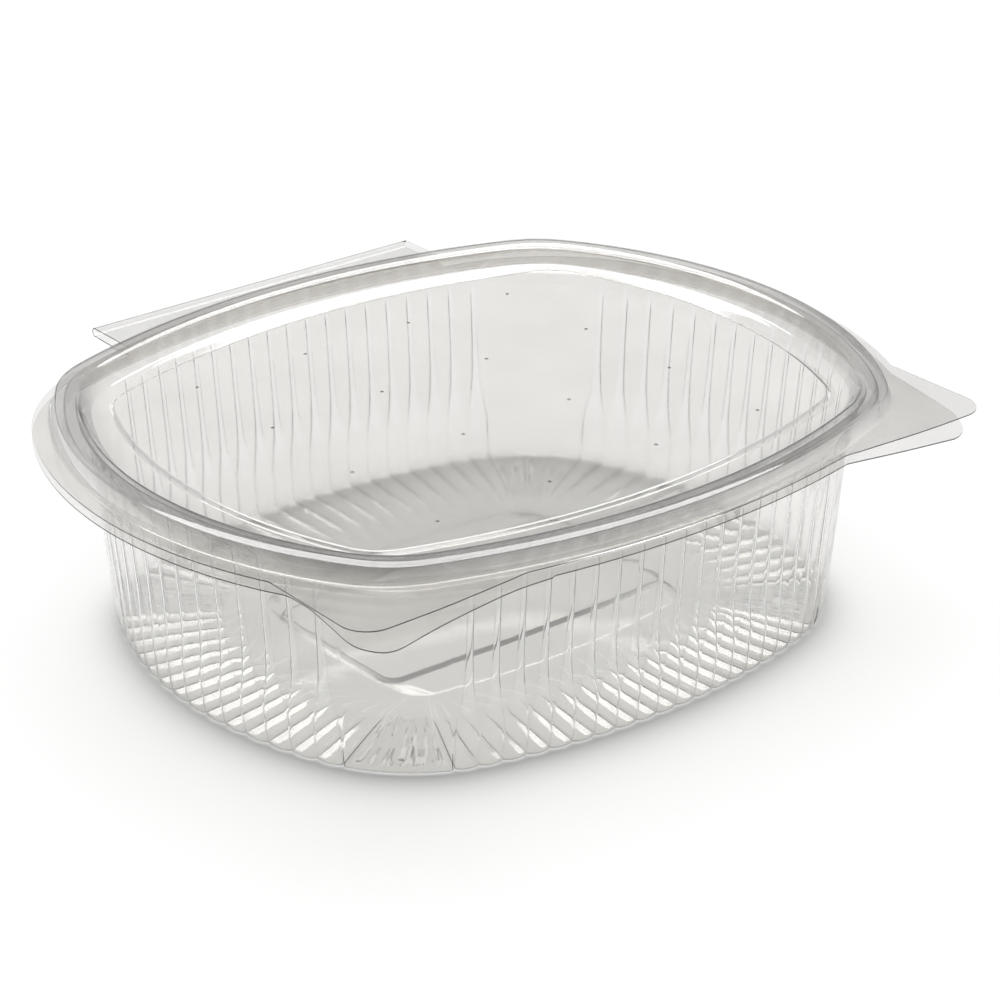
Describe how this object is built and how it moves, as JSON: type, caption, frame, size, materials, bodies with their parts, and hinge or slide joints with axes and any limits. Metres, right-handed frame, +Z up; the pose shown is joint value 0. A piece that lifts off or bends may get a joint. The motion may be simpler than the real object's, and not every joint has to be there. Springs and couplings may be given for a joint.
{
  "type": "hinged salad tub",
  "caption": "Clear oval takeaway salad tub with ribbed walls, a flat flanged rim with pull tabs and an attached lid that turns up on a straight fold at the back.",
  "frame": {"origin": "on the table, under the middle of the whole outline with its tabs and fold strip", "axes": "+X along the fold and the long side, the opening side faces -Y, +Z up"},
  "size_m": [0.1908, 0.1666, 0.0536],
  "materials": {
    "tub_sheet": "clear thin PET sheet, glossy",
    "lid_sheet": "clear thin PET sheet, glossy"
  },
  "bodies": {
    "tub": {"tub": "tub_sheet"},
    "lid": {"lid": "lid_sheet"}
  },
  "joints": [
    {"name": "lid_hinge", "type": "hinge", "parent": "tub", "child": "lid", "pos_m": [0, 0.08342, 0.0482], "axis": [-1, 0, 0], "range_deg": [0, 180]}
  ]
}
